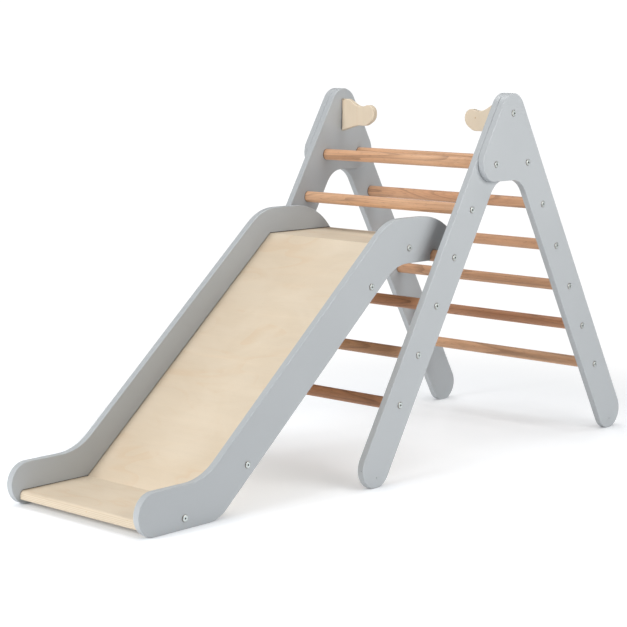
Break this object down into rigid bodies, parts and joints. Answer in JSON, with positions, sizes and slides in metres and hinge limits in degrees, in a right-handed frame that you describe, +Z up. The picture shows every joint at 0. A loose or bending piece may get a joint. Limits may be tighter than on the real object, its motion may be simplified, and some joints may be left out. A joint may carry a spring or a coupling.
{
  "type": "toddler climbing triangle with slide",
  "caption": "Wooden A-frame climbing triangle with round rungs and top handles, and a slide with side panels that hooks over one rung and rests its foot on the floor.",
  "frame": {"origin": "on the floor, under the middle of the overall box", "axes": "+X along the slide from its foot towards the rear legs, +Y across the rungs, +Z up"},
  "size_m": [1.5162, 0.5168, 0.8],
  "materials": {
    "grey_paint": "satin grey paint on birch plywood, edges rounded over",
    "birch_ply": "clear satin varnish on birch plywood, plies showing on the edges",
    "beech": "clear satin varnish on turned beech",
    "zinc": "bright zinc plate"
  },
  "bodies": {
    "frame": {"front_leg_left": "grey_paint", "front_leg_right": "grey_paint", "rear_leg_left": "grey_paint", "rear_leg_right": "grey_paint", "handle_left": "birch_ply", "handle_right": "birch_ply", "front_rung_1": "beech", "front_rung_2": "beech", "front_rung_4": "beech", "front_rung_5": "beech", "front_rung_6": "beech", "rear_rung_1": "beech", "rear_rung_2": "beech", "rear_rung_3": "beech", "rear_rung_4": "beech", "rear_rung_5": "beech", "rear_rung_6": "beech", "handle_dowels": "beech", "leg_bolts": "zinc", "head_bolts": "zinc", "handle_bolts": "zinc", "rung_inserts": "zinc", "handle_inserts": "zinc"},
    "hook_rung": {"front_rung_3": "beech", "hook_rung_bolts": "zinc", "hook_rung_inserts": "zinc"},
    "slide_unit": {"slide_side_left": "grey_paint", "slide_side_right": "grey_paint", "exit_board": "birch_ply", "ramp_board": "birch_ply", "platform_board": "birch_ply", "slide_bolts": "zinc", "barrel_nuts": "zinc", "board_dowels": "beech"}
  },
  "joints": [
    {"name": "slide_tilt", "type": "hinge", "parent": "frame", "child": "hook_rung", "pos_m": [0.10449, 0, 0.45588], "axis": [0, 1, 0], "range_deg": [0, 18]},
    {"name": "slide_lift", "type": "slide", "parent": "hook_rung", "child": "slide_unit", "axis": [0, 0, 1], "range_m": [0, 0.024]}
  ]
}
